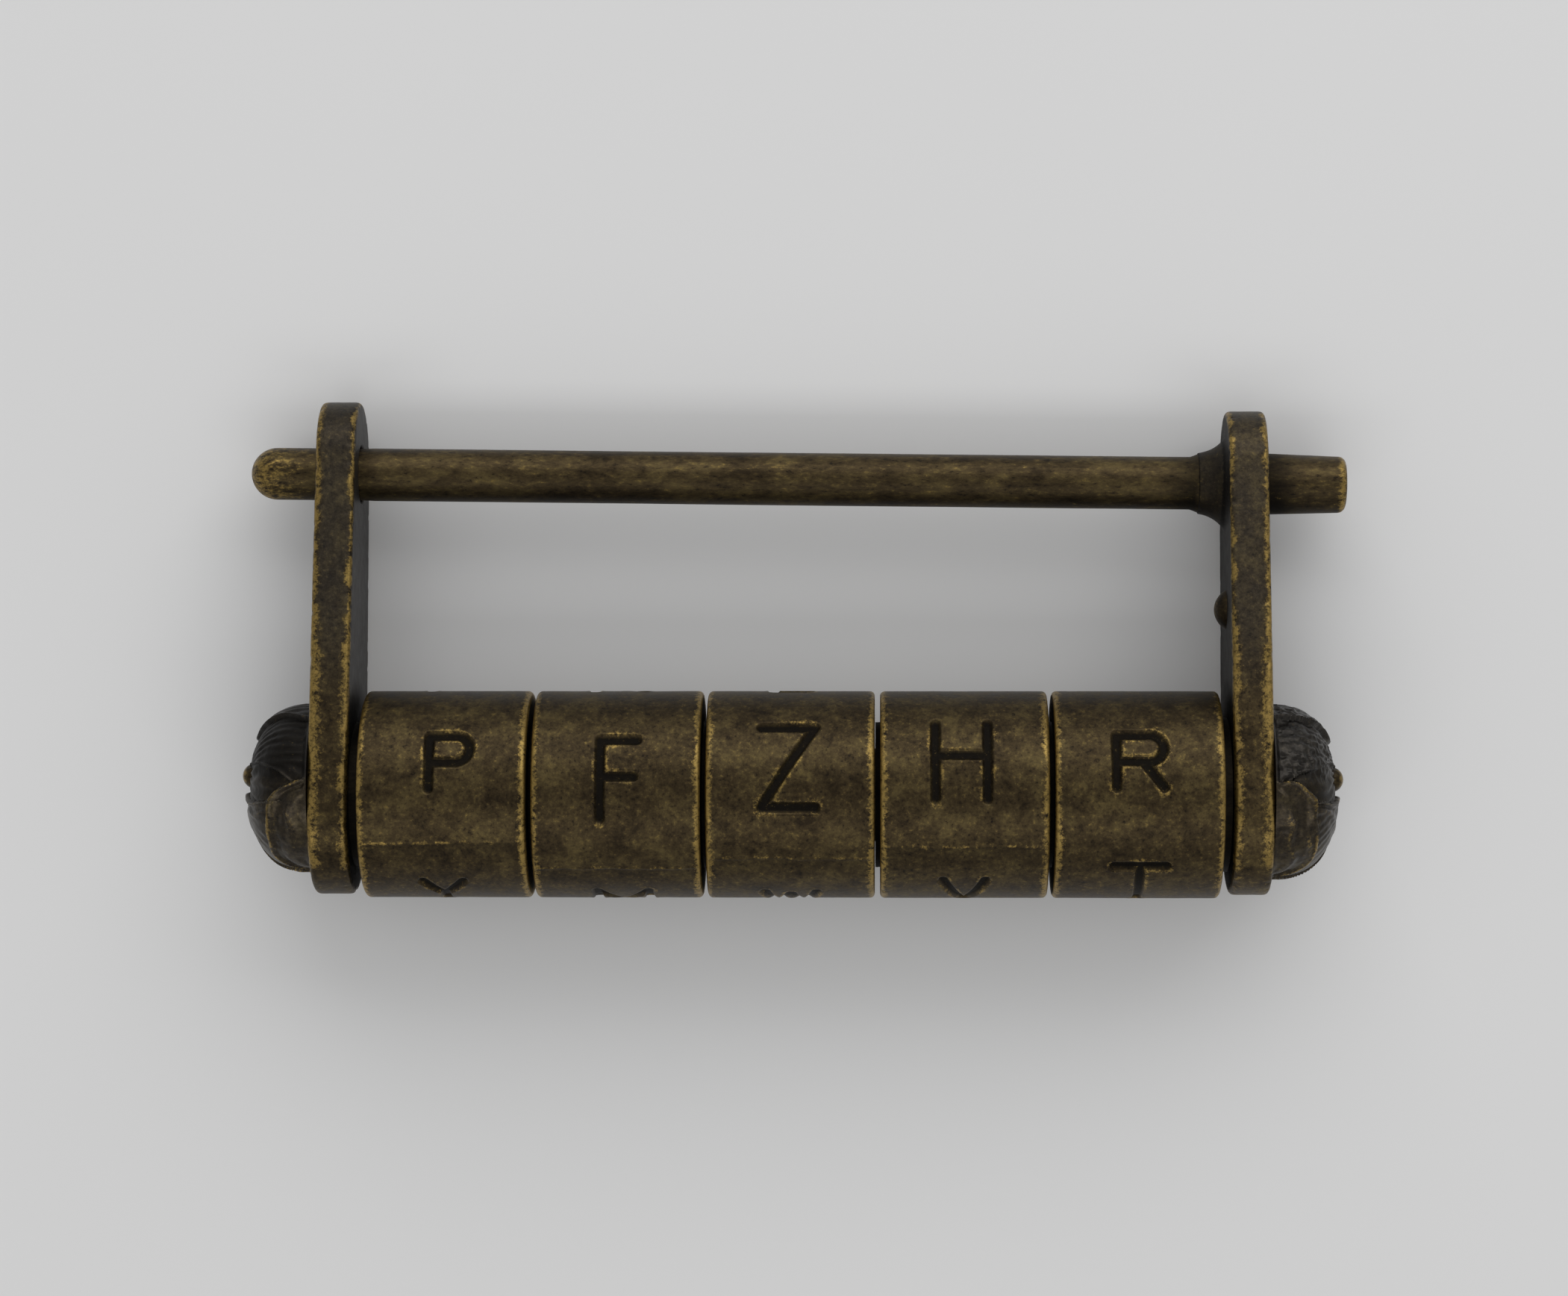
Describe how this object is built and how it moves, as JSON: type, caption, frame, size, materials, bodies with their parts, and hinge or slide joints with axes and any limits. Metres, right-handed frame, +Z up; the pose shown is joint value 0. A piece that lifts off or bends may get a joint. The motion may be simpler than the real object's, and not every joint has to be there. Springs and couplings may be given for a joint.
{
  "type": "letter combination padlock",
  "caption": "Antique bronze cryptex padlock: letter rings turn on a tube between two knobbed end plates, and a key rod with the shackle bar pulls out sideways once the word is set.",
  "frame": {"origin": "centre of the footprint, on the surface that the lock lies on", "axes": "+X along the ring axis from the fixed plate to the shackle plate, +Y from the rings towards the shackle bar, +Z up out of the face that shows the letters"},
  "size_m": [0.0952, 0.0428, 0.0178],
  "materials": {
    "antique_bronze": "dark brown patina, rubbed golden along the edges",
    "carved_bronze": "blackened carving with olive gold on its ridges",
    "ring_bronze": "mottled brown and olive patina with golden rims, letters blackened",
    "worn_brass": "rubbed brass with dark tarnish",
    "dark_washer": "oily, tarnished almost black"
  },
  "bodies": {
    "lock_body": {"left_plate": "antique_bronze", "left_knob": "carved_bronze", "left_knob_pin": "worn_brass", "slotted_tube": "worn_brass", "thrust_collar": "dark_washer", "ring_spacer_1": "dark_washer", "ring_spacer_2": "dark_washer", "ring_spacer_3": "dark_washer", "ring_spacer_4": "dark_washer", "end_collar": "dark_washer"},
    "shackle": {"right_plate": "antique_bronze", "plate_rivet": "antique_bronze", "shackle_bar": "antique_bronze", "right_knob": "carved_bronze", "right_knob_pin": "worn_brass", "key_rod": "worn_brass"},
    "ring_1": {"letter_ring_1": "ring_bronze"},
    "ring_2": {"letter_ring_2": "ring_bronze"},
    "ring_3": {"letter_ring_3": "ring_bronze"},
    "ring_4": {"letter_ring_4": "ring_bronze"},
    "ring_5": {"letter_ring_5": "ring_bronze"}
  },
  "joints": [
    {"name": "shackle_slide", "type": "slide", "parent": "lock_body", "child": "shackle", "axis": [1, 0, 0], "range_m": [0, 0.076]},
    {"name": "ring_1_turn", "type": "hinge", "parent": "lock_body", "child": "ring_1", "pos_m": [0, -0.01254, 0.0089], "axis": [1, 0, 0], "continuous": true},
    {"name": "ring_2_turn", "type": "hinge", "parent": "lock_body", "child": "ring_2", "pos_m": [0, -0.01254, 0.0089], "axis": [1, 0, 0], "continuous": true},
    {"name": "ring_3_turn", "type": "hinge", "parent": "lock_body", "child": "ring_3", "pos_m": [0, -0.01254, 0.0089], "axis": [1, 0, 0], "continuous": true},
    {"name": "ring_4_turn", "type": "hinge", "parent": "lock_body", "child": "ring_4", "pos_m": [0, -0.01254, 0.0089], "axis": [1, 0, 0], "continuous": true},
    {"name": "ring_5_turn", "type": "hinge", "parent": "lock_body", "child": "ring_5", "pos_m": [0, -0.01254, 0.0089], "axis": [1, 0, 0], "continuous": true}
  ]
}
